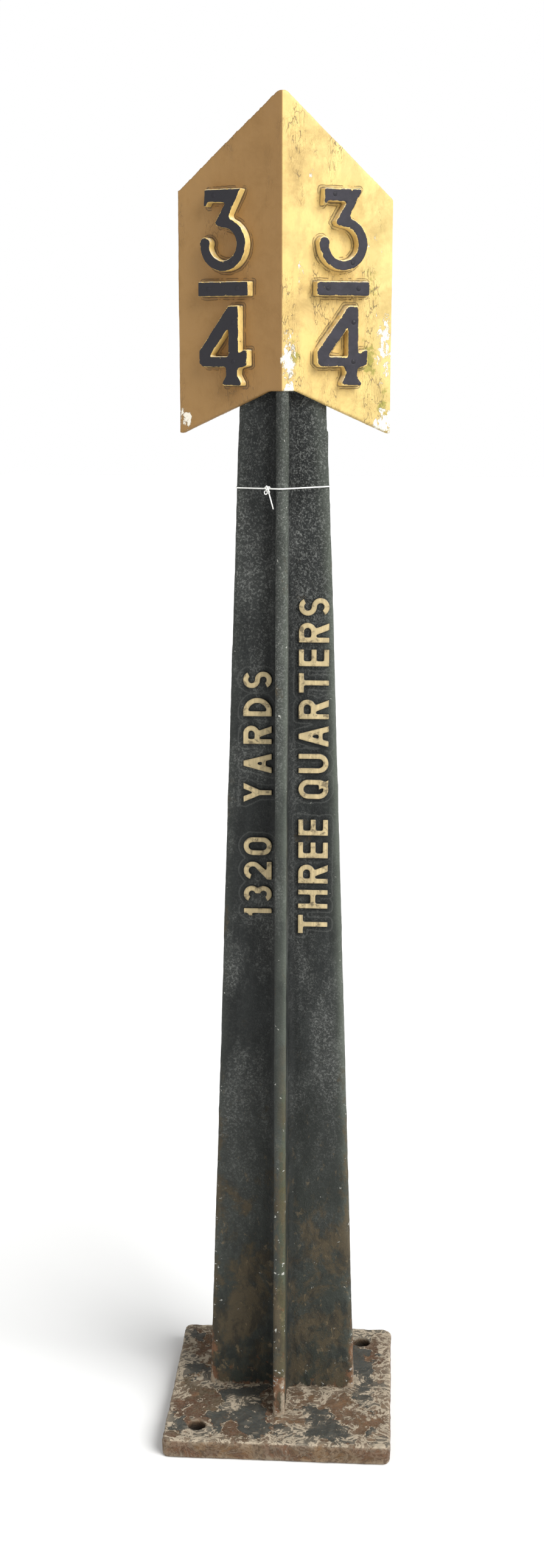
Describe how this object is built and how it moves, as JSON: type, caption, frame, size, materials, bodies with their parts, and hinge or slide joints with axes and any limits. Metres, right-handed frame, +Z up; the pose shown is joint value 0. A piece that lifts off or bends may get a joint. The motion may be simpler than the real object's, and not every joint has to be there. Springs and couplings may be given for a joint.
{
  "type": "railway distance post",
  "caption": "Cast-iron railway distance post: square bolted foot, tapered cross-section shaft with raised legend, and a V-shaped head with a fraction on each wing.",
  "frame": {"origin": "middle of the foot plate's underside", "axes": "+Z up the shaft; -Y is the front, the way the head's ridge points; +X to the right of a viewer in front"},
  "size_m": [0.3048, 0.3048, 1.745],
  "materials": {
    "rusted_iron": "matte",
    "black_paint": "satin",
    "gold_paint": "satin",
    "numeral_black": "satin",
    "pin_iron": "satin",
    "legend_gold": "matte",
    "white_string": "matte"
  },
  "bodies": {
    "root": {"foot_plate": "rusted_iron", "shaft": "black_paint", "head": "gold_paint", "left_three": "numeral_black", "left_fraction_bar": "numeral_black", "left_four": "numeral_black", "right_three": "numeral_black", "right_fraction_bar": "numeral_black", "right_four": "numeral_black", "left_three_pins": "pin_iron", "left_bar_pins": "pin_iron", "left_four_pins": "pin_iron", "right_three_pins": "pin_iron", "right_bar_pins": "pin_iron", "right_four_pins": "pin_iron", "number_legend": "legend_gold", "yards_legend": "legend_gold", "three_legend": "legend_gold", "quarters_legend": "legend_gold", "string_loop": "white_string", "string_knot": "white_string", "string_tail": "white_string"}
  },
  "joints": []
}
